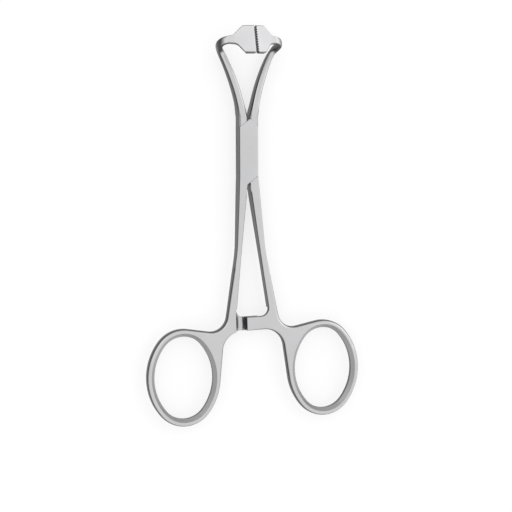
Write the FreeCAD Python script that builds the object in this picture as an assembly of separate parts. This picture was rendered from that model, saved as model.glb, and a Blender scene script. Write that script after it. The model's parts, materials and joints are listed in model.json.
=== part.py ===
import FreeCAD, Part
import math
import os

V = FreeCAD.Vector

# Towel forceps, 135 mm, box lock. Millimetres. It lies on its back: +Y towards the jaws,
# +X to the right, +Z up, out of its front. The pivot axis is X = 0, Y = 0, and the back of
# the box lies in Z = 0. The halves are laid out about the mid-plane and lifted at the end.

# Box lock
box_width = 6.5
box_thickness = 5.5
box_shoulder = 8.3
shoulder_slope = 0.75
slot_thickness = 2.1
slot_radius = 8.0
slot_clearance = 0.06
shoulder_clearance = 0.08
tongue_side_relief = 0.05

# Lock pin
pin_diameter = 2.6
pin_running_clearance = 0.04
pin_fixed_clearance = 0.01

# Edges
edge_round = 0.45
near = 0.001

# Shanks: both are set a little to the right of the box, in degrees about the pivot. The outer
# edge bends once on its way down, and the thickness tapers between two heights.
handle_set = 1.6
crotch_half_gap = 0.45
shank_bend_x = 5.0
shank_bend_y = -34.0
shank_bend_radius = 60.0
taper_start = -14.0
taper_end = -38.0
taper_round = 150.0

# Ratchet bars
bar_top = -56.35
bar_height = 4.65
bar_overlap = 2.2
bar_corner_x = 6.0
bar_fillet = 2.8
bar_step = 6.2
bar_step_round = 1.9
bar_gap = 0.08
ratchet_teeth = 5
ratchet_pitch = 1.1
ratchet_depth = 0.45

# Finger rings: ovals of four arcs, with the webs that join them to shank and bar
ring_centre_x = 24.85
ring_centre_y = -75.7
ring_hole_width = 20.5
ring_hole_height = 28.15
ring_band = 2.55
ring_end_share = 0.835
ring_thickness = 3.8
ring_edge_round = 1.15
web_corner_x = 10.15
web_drop = 0.6
web_outer_radius = 5.5
web_inner_radius = 6.8

# Arms: the root is as wide as its half of the box. The rest runs low, then turns up to the
# jaw plate. The stations lie between the root, at 0, and the plate's middle height, at 1.
arm_root_height = 11.6
arm_stations = (0.15, 0.36, 0.58, 0.725, 0.8, 0.865, 0.92, 0.965)
arm_reach = (2.5, 3.75, 5.75, 7.5, 8.75, 10.2, 11.0, 10.7)
arm_rise = (0.1, -0.05, -0.7, -0.85, -0.6, 0.6, 2.7, 4.6)
arm_facing = (
    (0.98, -0.2, 0.03),
    (0.95, -0.3, 0.05),
    (0.92, -0.39, 0.06),
    (0.9, -0.43, 0.06),
    (0.9, -0.43, 0.06),
    (0.93, -0.3, 0.15),
    (0.92, 0.0, 0.38),
    (0.8, 0.1, 0.6),
)
arm_thickness = (2.5, 2.35, 2.1, 1.8, 1.7, 1.75, 1.85, 1.9)
arm_depth = (5.15, 4.7, 3.9, 3.75, 3.7, 3.6, 3.5, 3.4)
arm_bevel = 0.4

# Jaw plates: they slope down to the sides and rise a little towards the box
plate_height = 9.4
plate_mid = 37.2
plate_flat = 3.9
plate_roof = 30.0
plate_lean = 16.3
plate_thickness = 1.9
plate_bevel = 0.25
neck_height = 3.2
neck_length = 2.1
fan_round = 2.6
ridge_height = 10.9
jaw_gap = 0.5
jaw_teeth = 11
jaw_tooth_depth = 0.5

half_box = box_width / 2
half_thick = box_thickness / 2
half_ring = ring_thickness / 2
bar_bottom = bar_top - bar_height
ring_half_width = ring_hole_width / 2 + ring_band
ring_half_height = ring_hole_height / 2 + ring_band
ring_end_radius = ring_end_share * ring_half_width
ring_side_radius = (
    (ring_half_width ** 2 + ring_half_height ** 2 - 2 * ring_half_height * ring_end_radius)
    / (2 * (ring_half_width - ring_end_radius))
)
ring_end_rise = ring_half_height - ring_end_radius
ring_side_out = ring_side_radius - ring_half_width
ring_join = math.degrees(math.atan2(ring_end_rise, ring_side_out))
handle_overlap = 0.5
shoulder_drop = shoulder_clearance * math.hypot(1, shoulder_slope)
crotch_height = box_shoulder + shoulder_slope * (half_box + crotch_half_gap) - shoulder_drop
root_middle = (crotch_half_gap + half_box) / 2
fan_reach = (plate_height - neck_height) / 2
plate_skew = (
    plate_height / 2 * math.sin(math.radians(plate_lean)) * math.tan(math.radians(plate_roof))
)
space = 2 * max(ring_half_height - ring_centre_y, plate_mid + plate_height)


def mirrored(shape):
    """The same shape on the other side of the mid line."""
    return shape.mirror(V(0, 0, 0), V(1, 0, 0))


def turned(shape):
    """The same shape turned half a turn about the long axis."""
    return mirrored(shape).mirror(V(0, 0, 0), V(0, 0, 1))


def rounded_path(points, radii):
    """Straight edges through the points, with a tangent arc at each one between the ends."""
    edges = []
    start = points[0]
    for before, corner, after, radius in zip(points, points[1:], points[2:], radii):
        back = (before - corner).normalize()
        ahead = (after - corner).normalize()
        half_turn = back.getAngle(ahead) / 2
        first = corner + back * (radius / math.tan(half_turn))
        last = corner + ahead * (radius / math.tan(half_turn))
        rise = radius / math.sin(half_turn) - radius
        middle = corner + (back + ahead).normalize() * rise
        edges.append(Part.makeLine(start, first))
        edges.append(Part.Arc(first, middle, last).toShape())
        start = last
    edges.append(Part.makeLine(start, points[-1]))
    return edges


def face_inside(edges):
    """The flat face inside a ring of edges given in any order."""
    return Part.Face(Part.Wire(Part.__sortEdges__(edges)))


def prism(points, low, high):
    """An upright prism over a polygon, from one height to another."""
    corners = [V(x, y, low) for x, y in points]
    face = Part.Face(Part.makePolygon(corners + corners[:1]))
    return face.extrude(V(0, 0, high - low))


def through(face):
    """A flat face at the mid-plane made into an upright prism, thicker than any piece."""
    solid = face.extrude(V(0, 0, 4 * half_thick))
    solid.translate(V(0, 0, -2 * half_thick))
    return solid


def rounded(shape, radii_at):
    """Round each edge for which radii_at gives the radii at its two ends."""
    document = FreeCAD.newDocument()
    base = document.addObject("Part::Feature", "base")
    base.Shape = shape
    fillet = document.addObject("Part::Fillet", "fillet")
    fillet.Base = base
    chosen = []
    for number, edge in enumerate(shape.Edges, 1):
        radii = radii_at(edge)
        if radii:
            chosen.append((number, radii[0], radii[1]))
    fillet.Edges = chosen
    document.recompute()
    result = fillet.Shape.copy()
    FreeCAD.closeDocument(document.Name)
    return result


def shoulder_line(x):
    """Height of the box end where the tongue half meets it, at the left of the box."""
    return box_shoulder + shoulder_slope * (x + half_box)


def leaned(x, y, lean):
    """A point of a handle, turned about the pivot by the lean of that handle in degrees."""
    turn = math.radians(lean)
    across = x * math.cos(turn) - y * math.sin(turn)
    along = x * math.sin(turn) + y * math.cos(turn)
    return V(across, along, 0)


def on_circle(centre, radius, direction, lean):
    """A point on a circle of the ring, in a direction in degrees."""
    turn = math.radians(direction)
    x = centre[0] + radius * math.cos(turn)
    y = centre[1] + radius * math.sin(turn)
    return leaned(x, y, lean)


def touch_direction(point, centre, radius, side):
    """Direction from the centre at which a line from the point touches a circle."""
    x = point[0] - centre[0]
    y = point[1] - centre[1]
    return math.degrees(math.atan2(y, x) + side * math.acos(radius / math.hypot(x, y)))


def oval(inset, lean, side_start, top_end):
    """The arcs of a ring from its left side, round its bottom and right side, to its top."""
    left = (ring_centre_x + ring_side_out, ring_centre_y)
    right = (ring_centre_x - ring_side_out, ring_centre_y)
    low = (ring_centre_x, ring_centre_y - ring_end_rise)
    high = (ring_centre_x, ring_centre_y + ring_end_rise)
    arcs = []
    for centre, radius, start, end in (
        (left, ring_side_radius - inset, side_start, 180 + ring_join),
        (low, ring_end_radius - inset, 180 + ring_join, 360 - ring_join),
        (right, ring_side_radius - inset, -ring_join, ring_join),
        (high, ring_end_radius - inset, ring_join, top_end),
    ):
        points = [
            on_circle(centre, radius, direction, lean)
            for direction in (start, (start + end) / 2, end)
        ]
        arcs.append(Part.Arc(*points).toShape())
    return arcs


def handle_edges(lean):
    """The outline of the right handle below the box: shank and bar, arch, ring, outer edge."""
    valley = (web_corner_x, bar_bottom - web_drop)
    arch = (web_corner_x, bar_bottom)
    high = (ring_centre_x, ring_centre_y + ring_end_rise)
    left = (ring_centre_x + ring_side_out, ring_centre_y)
    top_touch = touch_direction(valley, high, ring_end_radius, -1)
    side_touch = touch_direction(arch, left, ring_side_radius, 1)
    crotch = V(crotch_half_gap, -crotch_height, 0)
    tip = [leaned(-bar_overlap, bar_top, lean), leaned(-bar_overlap, bar_bottom, lean)]
    inner = rounded_path([crotch, leaned(bar_corner_x, bar_top, lean), tip[0]], [bar_fillet])
    arch_path = rounded_path(
        [tip[1], leaned(*arch, lean), on_circle(left, ring_side_radius, side_touch, lean)],
        [web_inner_radius],
    )
    outer = rounded_path(
        [
            on_circle(high, ring_end_radius, top_touch, lean),
            leaned(*valley, lean),
            leaned(shank_bend_x, shank_bend_y, lean),
            V(half_box, -box_shoulder, 0),
        ],
        [web_outer_radius, shank_bend_radius],
    )
    ring = oval(0, lean, side_touch, top_touch)
    return inner + [Part.makeLine(*tip)], arch_path, ring, outer


def thickness_profile():
    """Side profile: even over the box, tapering along the shank, even again at the ring."""
    heights = [
        (space, half_thick),
        (taper_start, half_thick),
        (taper_end, half_ring),
        (-space, half_ring),
    ]
    front = rounded_path([V(-space, y, z) for y, z in heights], [taper_round, taper_round])
    back = [edge.mirror(V(0, 0, 0), V(0, 0, 1)) for edge in front]
    ends = [
        Part.makeLine(V(-space, y, z), V(-space, y, -z)) for y, z in (heights[0], heights[-1])
    ]
    return face_inside(front + back + ends).extrude(V(2 * space, 0, 0))


def ratchet_cutter(lean):
    """What is milled away behind the right bar, which leaves its teeth standing."""
    crest = bar_gap / 2
    floor = crest + ratchet_depth
    deep = -2 * half_thick
    beyond = -bar_overlap - ratchet_pitch
    points = [V(beyond, 0, deep), V(beyond, 0, floor)]
    for tooth in range(ratchet_teeth):
        x = -bar_overlap + tooth * ratchet_pitch
        points.append(V(x, 0, floor))
        points.append(V(x + ratchet_pitch, 0, crest))
    points.append(V(points[-1].x, 0, floor))
    step = rounded_path(
        [points[-1], V(bar_step, 0, floor), V(bar_step, 0, deep)], [bar_step_round]
    )
    edges = [Part.makeLine(a, b) for a, b in zip(points, points[1:])]
    edges.append(Part.makeLine(points[0], V(bar_step, 0, deep)))
    cutter = face_inside(edges + step).extrude(V(0, -bar_height - 2 * bar_fillet, 0))
    cutter.translate(V(0, bar_top + bar_fillet, 0))
    cutter.rotate(V(0, 0, 0), V(0, 0, 1), lean)
    return cutter


def handle(lean, box=None):
    """Right shank, ratchet bar and ring in one, with the box above them on the half that has it."""
    inner, arch, ring, outer = handle_edges(lean)
    top = -box_shoulder + handle_overlap
    closing = [
        V(half_box, -box_shoulder, 0),
        V(half_box - 2 * edge_round, top, 0),
        V(crotch_half_gap, top, 0),
        V(crotch_half_gap, -crotch_height, 0),
    ]
    closing_edges = [Part.makeLine(a, b) for a, b in zip(closing, closing[1:])]
    solid = through(face_inside(inner + arch + ring + outer + closing_edges))
    hole = through(face_inside(oval(ring_band, lean, 180 - ring_join, 180 - ring_join)))
    solid = solid.cut(hole).common(thickness_profile())
    if box:
        solid = solid.fuse(box).removeSplitter()

    centre = leaned(ring_centre_x, ring_centre_y, lean)
    web_ends = [outer[1].Vertexes[-1].Point, arch[1].Vertexes[0].Point]
    round_reach = max(point.distanceToPoint(centre) for point in web_ends) + ring_edge_round / 2
    left_square = Part.Compound(closing_edges + inner[-1:])

    def radii_at(edge):
        """Radii for the front and back edges, fuller round the ring than along the shank."""
        ends = [edge.Vertexes[0].Point, edge.Vertexes[-1].Point]
        upright = abs(ends[0].z - ends[1].z) > half_thick / 2 or abs(ends[0].z) < half_ring / 2
        across = ends[0].y > bar_top + bar_fillet and abs(ends[0].y - ends[1].y) < near
        in_box = min(p.y for p in ends) > -crotch_height - near
        across = across or in_box and abs(ends[0].x - ends[1].x) > near
        square = all(left_square.distToShape(Part.Vertex(p.x, p.y, 0))[0] < near for p in ends)
        if upright or across or square or hole.isInside(ends[0], near, True):
            return None
        radii = []
        for p in ends:
            on_ring = V(p.x, p.y, 0).distanceToPoint(centre) < round_reach
            radii.append(ring_edge_round if on_ring else edge_round)
        return radii

    solid = rounded(solid, radii_at)
    hole_rims = [
        edge for edge in solid.Edges
        if all(hole.isInside(v.Point, near, True) for v in edge.Vertexes)
        and abs(edge.Vertexes[0].Point.z - edge.Vertexes[-1].Point.z) < half_ring
    ]
    return solid.makeChamfer(ring_edge_round, hole_rims).cut(ratchet_cutter(lean))


def bevelled_section(point, thin, deep, thickness, depth, bevel):
    """A rectangle with bevelled corners, across the arm."""
    a = thickness / 2
    b = depth / 2
    corners = []
    for across, up in (
        (a, b - bevel), (a - bevel, b), (bevel - a, b), (-a, b - bevel),
        (-a, bevel - b), (bevel - a, -b), (a - bevel, -b), (a, bevel - b),
    ):
        corners.append(point + thin * across + deep * up)
    return Part.makePolygon(corners + corners[:1])


def root_section(y):
    """The section of the right arm's root, as deep as the box."""
    return bevelled_section(
        V(root_middle, y, 0), V(1, 0, 0), V(0, 0, 1),
        half_box - crotch_half_gap, box_thickness, arm_bevel,
    )


def arm_root():
    """The straight root of the right arm."""
    bottom = box_shoulder - handle_overlap
    return Part.Face(root_section(bottom)).extrude(V(0, arm_root_height - bottom, 0))


def plate_placed(shape):
    """A jaw plate, laid out flat at the origin, put in its place on the right jaw."""
    shape.rotate(V(0, 0, 0), V(1, 0, 0), -plate_lean)
    shape.rotate(V(0, 0, 0), V(0, 1, 0), plate_roof)
    shape.translate(V(0, plate_mid, ridge_height))
    return shape


def arm_loft():
    """The right arm from its root to the neck of the jaw plate."""
    neck = plate_placed(bevelled_section(
        V(plate_flat + fan_reach + neck_length, 0, 0),
        V(0, 0, 1), V(0, 1, 0), plate_thickness, neck_height, plate_bevel,
    ))
    rise = plate_mid - arm_root_height
    spine = [V(root_middle, arm_root_height, 0)]
    for station, x, z in zip(arm_stations, arm_reach, arm_rise):
        spine.append(V(x, arm_root_height + rise * station, z))
    spine.append(neck.CenterOfMass)
    sections = [root_section(arm_root_height)]
    for before, point, after, facing, thickness, depth in zip(
        spine, spine[1:], spine[2:], arm_facing, arm_thickness, arm_depth
    ):
        tangent = (after - before).normalize()
        thin = V(*facing)
        thin = (thin - tangent * thin.dot(tangent)).normalize()
        deep = thin.cross(tangent)
        sections.append(bevelled_section(point, thin, deep, thickness, depth, arm_bevel))
    sections.append(neck)
    return Part.makeLoft(sections, True, True)


def plate_outline():
    """The flat outline of a jaw plate: a fan that narrows in two hollow curves to its neck."""
    half = plate_height / 2
    half_neck = neck_height / 2
    low = -plate_thickness / 2
    neck_end = plate_flat + fan_reach + neck_length
    edges = []
    for side in (1, -1):
        corner = plate_flat + side * plate_skew
        outer = [
            V(corner, side * half, low),
            V(corner + fan_reach, side * half_neck, low),
            V(neck_end, side * half_neck, low),
        ]
        edges.append(Part.makeLine(V(-fan_reach, side * half, low), outer[0]))
        edges.extend(rounded_path(outer, [fan_round]))
    for x, y in ((-fan_reach, half), (neck_end, half_neck)):
        edges.append(Part.makeLine(V(x, -y, low), V(x, y, low)))
    return face_inside(edges)


def jaw_plate(first_groove):
    """The right jaw plate: a bevelled fan with a toothed, mitred edge on the mid line."""
    plate = plate_outline().extrude(V(0, 0, plate_thickness))
    rims = []
    for edge in plate.Edges:
        step = edge.Vertexes[0].Point - edge.Vertexes[1].Point
        if abs(step.z) < near and abs(step.x) > near:
            rims.append(edge)
    plate = plate_placed(plate.makeChamfer(plate_bevel, rims))
    edge_x = jaw_gap / 2
    side = 2 * plate_height
    plate = plate.common(Part.makeBox(side, side, side, V(edge_x, plate_mid - side / 2, 0)))
    pitch = plate_height * math.cos(math.radians(plate_lean)) / jaw_teeth
    start = plate_mid - (jaw_teeth / 2 - first_groove) * pitch
    for tooth in range(jaw_teeth):
        y = start + tooth * pitch
        groove = [
            (0, y - pitch / 2),
            (edge_x, y - pitch / 2),
            (edge_x + jaw_tooth_depth, y),
            (edge_x, y + pitch / 2),
            (0, y + pitch / 2),
        ]
        plate = plate.cut(prism(groove, 0, side))
    return plate


def box_body():
    """The box in plan, with the diagonal ends that the tongue half's shoulders meet."""
    lap = crotch_half_gap + 2 * edge_round
    plan = [
        (-half_box, box_shoulder - shoulder_drop),
        (crotch_half_gap, crotch_height),
        (half_box, box_shoulder),
        (half_box, -box_shoulder + shoulder_drop),
        (-crotch_half_gap, -crotch_height),
        (-lap, -crotch_height),
        (-lap, -box_shoulder),
        (-half_box, -box_shoulder),
    ]
    return prism(plan, -half_thick, half_thick)


def slot():
    """The opening through the box that the tongue turns in."""
    low = -slot_thickness / 2
    corridor = -crotch_half_gap + slot_clearance
    outside = -box_width
    end = crotch_height + box_thickness
    round_room = Part.makeCylinder(slot_radius + slot_clearance, slot_thickness, V(0, 0, low))
    upper = [(outside, 0), (corridor, 0), (corridor, end), (outside, end)]
    opening = round_room.fuse(prism(upper, low, -low))
    return opening.fuse(prism([(-x, -y) for x, y in upper], low, -low))


def tongue():
    """The thin middle of the tongue half, inside the box, with the start of both roots."""
    high = slot_thickness / 2 - slot_clearance
    side = half_box - tongue_side_relief
    strip = Part.makeBox(2 * side, 2 * slot_radius, 2 * high, V(-side, -slot_radius, -high))
    disc = Part.makeCylinder(slot_radius, 2 * high, V(0, 0, -high))
    inner = -crotch_half_gap
    lap = handle_overlap
    root = [
        (-side, 0),
        (inner, 0),
        (inner, shoulder_line(inner) + lap),
        (-side, shoulder_line(-side) + lap),
    ]
    body = disc.common(strip).fuse(prism(root, -high, high))
    return body.fuse(prism([(-x, -y) for x, y in root], -high, high))


def above_shoulder():
    """All that lies beyond the upper shoulder of the tongue half."""
    area = [
        (-space, shoulder_line(-space)),
        (space, shoulder_line(space)),
        (space, 2 * space),
        (-space, 2 * space),
    ]
    return prism(area, -space, space)


def bore(radius):
    """A round hole on the pivot axis."""
    return Part.makeCylinder(radius, 2 * box_thickness, V(0, 0, -box_thickness))


def box_half():
    """Right jaw and arm, box, left shank, rear ratchet bar and left ring."""
    box = turned(handle(-handle_set, turned(box_body())))
    shape = box.fuse([arm_root(), arm_loft(), jaw_plate(0.5)])
    shape = shape.cut(slot())
    return shape.cut(bore(pin_diameter / 2 + pin_fixed_clearance))


def tongue_half():
    """Left jaw and arm, tongue, right shank, front ratchet bar and right ring."""
    upper = above_shoulder()
    lower = upper.copy()
    lower.rotate(V(0, 0, 0), V(0, 0, 1), 180)
    root = mirrored(arm_root()).common(upper)
    arm = root.fuse([mirrored(arm_loft()), mirrored(jaw_plate(0))])
    shape = arm.fuse([tongue(), handle(handle_set).common(lower)])
    return shape.cut(bore(pin_diameter / 2 + pin_running_clearance))


def lock_pin():
    """The rivet on the pivot axis, ground flush with both faces of the box."""
    return Part.makeCylinder(pin_diameter / 2, box_thickness, V(0, 0, -half_thick))


def main():
    os.makedirs("parts", exist_ok=True)
    pieces = {"box_half": box_half(), "tongue_half": tongue_half(), "lock_pin": lock_pin()}
    for name, shape in pieces.items():
        shape.translate(V(0, 0, half_thick))
        shape = shape.removeSplitter()
        print(name, shape.isValid(), len(shape.Solids), "solids", round(shape.Volume, 2), "mm3")
        shape.exportStep("parts/" + name + ".step")


main()
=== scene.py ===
import bpy
import json
import math
from mathutils import Matrix, Vector

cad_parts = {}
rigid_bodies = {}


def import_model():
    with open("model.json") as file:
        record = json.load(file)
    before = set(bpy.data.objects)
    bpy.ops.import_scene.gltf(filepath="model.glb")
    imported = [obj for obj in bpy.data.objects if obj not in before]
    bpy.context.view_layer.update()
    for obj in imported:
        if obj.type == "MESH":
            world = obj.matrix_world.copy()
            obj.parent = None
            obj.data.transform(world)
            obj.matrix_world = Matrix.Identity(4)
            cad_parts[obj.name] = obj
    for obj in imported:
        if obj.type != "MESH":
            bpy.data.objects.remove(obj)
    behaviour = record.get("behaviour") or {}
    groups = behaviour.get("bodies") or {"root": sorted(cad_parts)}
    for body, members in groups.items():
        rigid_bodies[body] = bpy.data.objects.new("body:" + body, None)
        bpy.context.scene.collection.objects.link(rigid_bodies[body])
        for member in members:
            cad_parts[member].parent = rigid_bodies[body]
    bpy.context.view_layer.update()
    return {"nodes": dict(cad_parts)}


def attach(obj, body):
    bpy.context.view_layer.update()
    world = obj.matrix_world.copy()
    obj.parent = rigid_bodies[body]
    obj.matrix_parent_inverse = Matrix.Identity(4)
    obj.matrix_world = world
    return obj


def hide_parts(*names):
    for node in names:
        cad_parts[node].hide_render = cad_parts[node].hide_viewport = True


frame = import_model()

# Towel forceps in satin steel, lying on its back on a pale floor. Metres, +Y towards the jaws.

# Camera: turned to the left of the forceps, a little towards the jaws, and rolled
look_at = Vector((0.00309, -0.03567, 0.00275))
camera_turn = math.radians(16.57)
camera_lift = math.radians(4.46)
camera_roll = math.radians(-0.21)
camera_distance = 0.557
camera_lens = 114.68
camera_film = 36.0

# Light, in metres and watts
world_level = 0.72
floor_size = 4.0
floor_colour = (0.4, 0.4, 0.4, 1.0)
floor_glow = 0.72
lamp_size = 0.6
key_lamp_place = (0.75, 0.3, 0.4)
key_lamp_power = 0.6
left_lamp_place = (-0.58, 0.42, 0.58)
left_lamp_power = 0.35

# Finish of the pieces
merge_distance = 0.000001
smooth_angle = math.radians(40.0)

# Satin steel: how squarely a surface faces the front where the painted shade on the sides starts to
# fade and where it is gone, the colours of the painted shade on the sides and the colours of the
# fronts, the roughness, the waves to the metre of the brushing and of the clouds, and the depth of
# the scratches in metres
painted_shade_fade_start = 0.5
painted_shade_fade_end = 0.9
# Painted shade: the dark colours that the sides are given
painted_side_shade_dark = (0.03, 0.03, 0.032, 1.0)
painted_side_shade_pale = (0.1, 0.1, 0.105, 1.0)
front_dark = (0.76, 0.76, 0.77, 1.0)
front_pale = (0.88, 0.88, 0.89, 1.0)
least_roughness = 0.24
most_roughness = 0.4
brushing_across = 2600.0
brushing_along = 130.0
cloud_waves = 90.0
scratch_depth = 0.00003

# Arms, in millimetres about the mid-plane of the box, which lies this high over the floor. They
# run low from the box and turn sharply up to the neck of the jaw plate. Each section has its
# place along the forceps, out from the mid line and up, the way its thin side faces, its
# thickness, its depth and its bevel.
millimetre = 0.001
mid_plane = 2.75
root_height = 11.6
plate_near_side = 31.8
neck_out = 7.88
neck_up = 6.35
neck_slope = math.radians(30.0)
plate_mid = 37.2
arm_sections = (
    (root_height, 1.85, 0.0, (1.0, 0.0, 0.0), 2.8, 5.5, 0.4),
    (15.5, 2.55, 0.0, (0.98, -0.2, 0.0), 2.65, 5.3, 0.5),
    (20.8, 3.8, -0.1, (0.95, -0.3, 0.0), 2.6, 4.9, 0.5),
    (26.4, 5.75, -0.55, (0.92, -0.39, 0.0), 2.45, 4.3, 0.5),
    (30.1, 7.3, -0.75, (0.91, -0.42, 0.0), 2.25, 3.95, 0.5),
    (32.5, 8.45, -0.7, (0.9, -0.43, 0.05), 2.15, 3.75, 0.5),
    (34.1, 9.4, 0.0, (0.92, -0.36, 0.1), 2.1, 3.5, 0.5),
    (35.2, 10.2, 1.9, (0.96, -0.2, 0.1), 2.1, 3.1, 0.5),
    (36.0, 10.45, 4.2, (0.93, 0.05, 0.35), 2.1, 2.8, 0.5),
    (36.7, 9.55, 5.8, (0.75, 0.2, 0.65), 2.0, 2.9, 0.4),
    (plate_mid, neck_out, neck_up, (0.48, 0.281, 0.831), 1.9, 3.2, 0.25),
)
arm_rounding = 2
neck_narrowing = 0.8
neck_reach = 3.5

# Jaw plates, in millimetres: the height of the toothed edge at its middle, its fall away from
# the box, how far out the grooves between the teeth reach, where the teeth end, and how near a
# corner has to be to the bottom of a groove to count as one of its own
ridge_up = 10.9
ridge_fall = 0.338
tooth_root = 0.75
tooth_tip = 0.25
groove_match = 0.02


def deselect():
    """Nothing selected, as each modelling step wants it."""
    bpy.ops.object.select_all(action="DESELECT")


def only(thing):
    """This object selected and active, and nothing else."""
    deselect()
    thing.select_set(True)
    bpy.context.view_layer.objects.active = thing


def merged_copy(node, name):
    """A copy of a solid with its corners merged and without the normals it came with."""
    only(frame["nodes"][node])
    bpy.ops.object.duplicate()
    piece = bpy.context.active_object
    piece.name = name
    piece.data.name = name
    bpy.ops.object.parent_clear(type="CLEAR_KEEP_TRANSFORM")
    bpy.ops.mesh.customdata_custom_splitnormals_clear()
    bpy.ops.object.mode_set(mode="EDIT")
    bpy.ops.mesh.select_all(action="SELECT")
    bpy.ops.mesh.remove_doubles(threshold=merge_distance)
    bpy.ops.object.mode_set(mode="OBJECT")
    return piece


def finish(piece, node, body, material):
    """Smooth shading over the round edges, the material, and the place in the frame."""
    only(piece)
    bpy.ops.object.shade_smooth_by_angle(angle=smooth_angle)
    piece.modifiers.new("even_normals", "WEIGHTED_NORMAL").keep_sharp = True
    bpy.ops.object.modifier_apply(modifier="even_normals")
    piece.data.materials.clear()
    piece.data.materials.append(material)
    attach(piece, body)
    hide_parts(node)


def select_where(piece, kind, test):
    """Select the vertices, edges or faces of a mesh that pass a test, and nothing else."""
    only(piece)
    bpy.ops.object.mode_set(mode="EDIT")
    bpy.ops.mesh.select_mode(type=kind)
    bpy.ops.mesh.select_all(action="DESELECT")
    bpy.ops.object.mode_set(mode="OBJECT")
    elements = {"VERT": piece.data.vertices, "EDGE": piece.data.edges, "FACE": piece.data.polygons}
    for element in elements[kind]:
        element.select = test(element)
    bpy.ops.object.mode_set(mode="EDIT")


def arm_place(section, side):
    """The middle of a section of the right arm, or of the left one where the side is -1."""
    along, out, up = section[:3]
    return Vector((side * out, along, up + mid_plane)) * millimetre


def arm_ring(section, direction, side):
    """One ring of eight edges across the arm: a plane with its corners bevelled, left open."""
    facing, thickness, depth, bevel = section[3:]
    thin = Vector((side * facing[0], facing[1], facing[2]))
    thin = (thin - direction * thin.dot(direction)).normalized()
    deep = direction.cross(thin)
    bpy.ops.mesh.primitive_plane_add(size=millimetre, location=arm_place(section, side))
    ring = bpy.context.active_object
    ring.rotation_euler = Matrix((thin, deep, direction)).transposed().to_euler()
    ring.scale = (thickness, depth, 1.0)
    bpy.ops.object.transform_apply(location=True, rotation=True, scale=True)
    bpy.ops.object.mode_set(mode="EDIT")
    width = bevel * math.sqrt(2.0) * millimetre
    bpy.ops.mesh.bevel(offset=width, offset_type="WIDTH", affect="VERTICES")
    bpy.ops.mesh.delete(type="ONLY_FACE")
    bpy.ops.object.mode_set(mode="OBJECT")
    return ring


def add_arm(name, side):
    """An arm from the box to its jaw plate: rings bridged and rounded, sharp at both ends."""
    places = [arm_place(section, side) for section in arm_sections]
    neck_turn = Vector((-side * math.cos(neck_slope), 0.0, math.sin(neck_slope)))
    directions = [Vector((0.0, 1.0, 0.0))]
    for before, after in zip(places, places[2:]):
        directions.append((after - before).normalized())
    directions.append(neck_turn)
    rings = []
    for section, direction in zip(arm_sections, directions):
        deselect()
        rings.append(arm_ring(section, direction, side))
    deselect()
    for ring in rings:
        ring.select_set(True)
    arm = rings[0]
    bpy.context.view_layer.objects.active = arm
    bpy.ops.object.join()
    arm.name = name
    corners = len(arm.data.vertices) // len(rings)
    for first in range(len(rings) - 1):
        span = range(first * corners, (first + 2) * corners)
        select_where(arm, "EDGE", lambda edge: all(v in span for v in edge.vertices))
        bpy.ops.mesh.bridge_edge_loops()
        bpy.ops.object.mode_set(mode="OBJECT")
    ends = list(range(corners)) + list(range((len(rings) - 1) * corners, len(rings) * corners))
    select_where(arm, "EDGE", lambda edge: any(v in ends for v in edge.vertices))
    bpy.ops.transform.edge_crease(value=1.0)
    bpy.ops.mesh.select_all(action="SELECT")
    bpy.ops.mesh.normals_make_consistent(inside=False)
    bpy.ops.object.mode_set(mode="OBJECT")
    rounding = arm.modifiers.new("rounding", "SUBSURF")
    rounding.levels = arm_rounding
    rounding.render_levels = arm_rounding
    bpy.ops.object.modifier_apply(modifier="rounding")
    return arm


def half_with_arm(node, name, side):
    """A copy of one half in which the plain arm of the solid gives way to a rounded one."""
    half = merged_copy(node, name)
    neck = Vector((side * neck_out, 0.0, neck_up + mid_plane)) * millimetre
    outward = Vector((side * math.cos(neck_slope), 0.0, -math.sin(neck_slope)))

    def in_arm(face):
        middle = face.center
        if middle.y < root_height * millimetre:
            return False
        beyond = (middle - neck).dot(outward) > 0.0
        return beyond or middle.y < plate_near_side * millimetre

    def under_groove(corner):
        out = abs(corner.co.x) / millimetre
        middle = ridge_up + mid_plane - ridge_fall * (corner.co.y / millimetre - plate_mid)
        low = corner.co.z / millimetre < middle - out * math.tan(neck_slope)
        return low and abs(out - tooth_root) < groove_match

    select_where(half, "FACE", in_arm)
    bpy.ops.mesh.delete(type="FACE")
    bpy.ops.object.mode_set(mode="OBJECT")
    select_where(half, "VERT", under_groove)
    bpy.ops.transform.translate(value=(side * (tooth_tip - tooth_root) * millimetre, 0.0, 0.0))
    bpy.ops.object.mode_set(mode="OBJECT")
    arm = add_arm(name + "_arm", side)
    only(half)
    arm.select_set(True)
    bpy.ops.object.join()
    select_where(half, "VERT", lambda corner: abs((corner.co - neck).dot(outward)) < merge_distance)
    bpy.ops.transform.resize(
        value=(1.0, neck_narrowing, 1.0),
        center_override=neck + Vector((0.0, plate_mid * millimetre, 0.0)),
        use_proportional_edit=True,
        proportional_edit_falloff="SMOOTH",
        proportional_size=neck_reach * millimetre,
    )
    bpy.ops.object.mode_set(mode="OBJECT")
    return half


def new_material(name):
    """An empty node material with its shader and output."""
    material = bpy.data.materials.new(name)
    material.use_nodes = True
    nodes = material.node_tree.nodes
    nodes.clear()
    output = nodes.new("ShaderNodeOutputMaterial")
    shader = nodes.new("ShaderNodeBsdfPrincipled")
    material.node_tree.links.new(shader.outputs["BSDF"], output.inputs["Surface"])
    return material, shader


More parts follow.
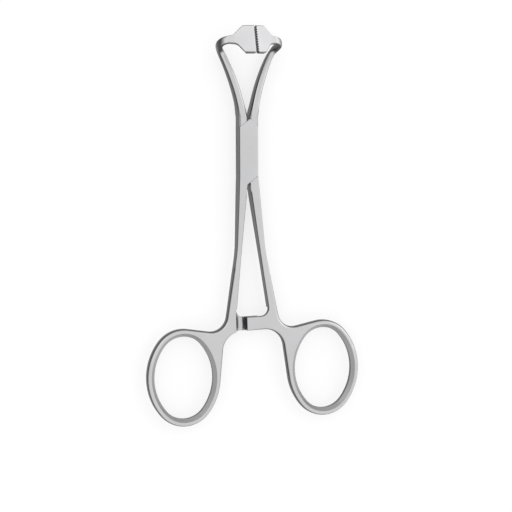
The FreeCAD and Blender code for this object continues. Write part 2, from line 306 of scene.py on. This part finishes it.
def satin_steel():
    """Forged stainless steel, the front and back polished to a satin, with painted shade making the
    sides darker.
    """
    material, shader = new_material("satin_steel")
    nodes = material.node_tree.nodes
    link = material.node_tree.links.new
    shader.inputs["Metallic"].default_value = 1.0
    place = nodes.new("ShaderNodeTexCoord")

    # How far the surface faces the front or the back, which decides where the painted shade of the
    # sides gives way to the front colour
    part = nodes.new("ShaderNodeSeparateXYZ")
    link(place.outputs["Normal"], part.inputs["Vector"])
    size = nodes.new("ShaderNodeMath")
    size.operation = "ABSOLUTE"
    link(part.outputs["Z"], size.inputs[0])
    facing = nodes.new("ShaderNodeMapRange")
    facing.interpolation_type = "SMOOTHSTEP"
    facing.inputs["From Min"].default_value = painted_shade_fade_start
    facing.inputs["From Max"].default_value = painted_shade_fade_end
    link(size.outputs["Value"], facing.inputs["Value"])

    # Brushing that runs along the forceps
    along = nodes.new("ShaderNodeMapping")
    along.inputs["Scale"].default_value = (brushing_across, brushing_along, brushing_across)
    link(place.outputs["Object"], along.inputs["Vector"])
    brushing = nodes.new("ShaderNodeTexNoise")
    brushing.inputs["Scale"].default_value = 1.0
    brushing.inputs["Detail"].default_value = 3.0
    brushing.inputs["Roughness"].default_value = 0.6
    link(along.outputs["Vector"], brushing.inputs["Vector"])

    # Soft clouds where the hand polishing is uneven
    clouds = nodes.new("ShaderNodeTexNoise")
    clouds.inputs["Scale"].default_value = cloud_waves
    clouds.inputs["Detail"].default_value = 2.0
    link(place.outputs["Object"], clouds.inputs["Vector"])

    # Painted shade on the sides: a dark colour, streaked by the brushing
    side = nodes.new("ShaderNodeMixRGB")
    side.inputs["Color1"].default_value = painted_side_shade_dark
    side.inputs["Color2"].default_value = painted_side_shade_pale
    link(brushing.outputs["Fac"], side.inputs["Fac"])
    front = nodes.new("ShaderNodeMixRGB")
    front.inputs["Color1"].default_value = front_dark
    front.inputs["Color2"].default_value = front_pale
    link(clouds.outputs["Fac"], front.inputs["Fac"])
    # Painted shade on the sides, fading into the front colour as the surface turns to the front or
    # the back
    colour = nodes.new("ShaderNodeMixRGB")
    link(facing.outputs["Result"], colour.inputs["Fac"])
    link(side.outputs["Color"], colour.inputs["Color1"])
    link(front.outputs["Color"], colour.inputs["Color2"])
    link(colour.outputs["Color"], shader.inputs["Base Color"])

    gloss = nodes.new("ShaderNodeMapRange")
    gloss.inputs["To Min"].default_value = least_roughness
    gloss.inputs["To Max"].default_value = most_roughness
    link(brushing.outputs["Fac"], gloss.inputs["Value"])
    link(gloss.outputs["Result"], shader.inputs["Roughness"])

    bump = nodes.new("ShaderNodeBump")
    bump.inputs["Strength"].default_value = 0.25
    bump.inputs["Distance"].default_value = scratch_depth
    link(brushing.outputs["Fac"], bump.inputs["Height"])
    link(bump.outputs["Normal"], shader.inputs["Normal"])
    return material


def pale_floor():
    """A plain matt floor that the camera sees nearly white and that keeps the shadow."""
    material, shader = new_material("pale_floor")
    nodes = material.node_tree.nodes
    link = material.node_tree.links.new
    shader.inputs["Base Color"].default_value = floor_colour
    shader.inputs["Roughness"].default_value = 1.0
    shader.inputs["Specular IOR Level"].default_value = 0.0
    seen = nodes.new("ShaderNodeLightPath")
    lift = nodes.new("ShaderNodeMath")
    lift.operation = "MAXIMUM"
    link(seen.outputs["Is Camera Ray"], lift.inputs[0])
    link(seen.outputs["Is Glossy Ray"], lift.inputs[1])
    more = nodes.new("ShaderNodeMath")
    more.operation = "MAXIMUM"
    link(lift.outputs["Value"], more.inputs[0])
    link(seen.outputs["Is Transmission Ray"], more.inputs[1])
    glow = nodes.new("ShaderNodeMath")
    glow.operation = "MULTIPLY"
    glow.inputs[1].default_value = floor_glow
    link(more.outputs["Value"], glow.inputs[0])
    shader.inputs["Emission Color"].default_value = (1.0, 1.0, 1.0, 1.0)
    link(glow.outputs["Value"], shader.inputs["Emission Strength"])
    return material


def add_floor():
    """The floor that the forceps lies on."""
    deselect()
    bpy.ops.mesh.primitive_plane_add(size=floor_size, location=(0.0, 0.0, 0.0))
    floor = bpy.context.active_object
    floor.name = "floor"
    floor.data.materials.append(pale_floor())


def add_lamp(name, place, watts):
    """A soft lamp that points at the pivot."""
    data = bpy.data.lights.new(name, "AREA")
    data.shape = "RECTANGLE"
    data.size = lamp_size
    data.size_y = lamp_size
    data.energy = watts
    lamp = bpy.data.objects.new(name, data)
    bpy.context.collection.objects.link(lamp)
    lamp.location = place
    lamp.rotation_euler = (-Vector(place)).to_track_quat("-Z", "Y").to_euler()


def light_scene():
    """An even pale surround with a soft lamp on either side, above the jaws."""
    world = bpy.data.worlds.new("studio")
    world.use_nodes = True
    surround = world.node_tree.nodes["Background"]
    surround.inputs["Color"].default_value = (1.0, 1.0, 1.0, 1.0)
    surround.inputs["Strength"].default_value = world_level
    bpy.context.scene.world = world
    add_lamp("key_lamp", key_lamp_place, key_lamp_power)
    add_lamp("left_lamp", left_lamp_place, left_lamp_power)


def add_camera():
    """The camera stands over the forceps, to its left, and is rolled a little."""
    back = Vector((
        -math.sin(camera_turn) * math.cos(camera_lift),
        math.sin(camera_lift),
        math.cos(camera_turn) * math.cos(camera_lift),
    ))
    level = Vector((math.cos(camera_turn), 0.0, math.sin(camera_turn)))
    upward = back.cross(level)
    right = level * math.cos(camera_roll) + upward * math.sin(camera_roll)
    top = back.cross(right)
    data = bpy.data.cameras.new("camera")
    data.lens = camera_lens
    data.sensor_width = camera_film
    camera = bpy.data.objects.new("camera", data)
    bpy.context.collection.objects.link(camera)
    turn = Matrix((right, top, back)).transposed().to_4x4()
    camera.matrix_world = Matrix.Translation(look_at + back * camera_distance) @ turn
    bpy.context.scene.camera = camera


steel = satin_steel()
box_half = half_with_arm("box_half", "box_half_finished", 1)
finish(box_half, "box_half", "box_side", steel)
tongue_half = half_with_arm("tongue_half", "tongue_half_finished", -1)
finish(tongue_half, "tongue_half", "tongue_side", steel)
finish(merged_copy("lock_pin", "lock_pin_finished"), "lock_pin", "box_side", steel)

add_floor()
light_scene()
add_camera()
bpy.context.scene.view_settings.view_transform = "Standard"
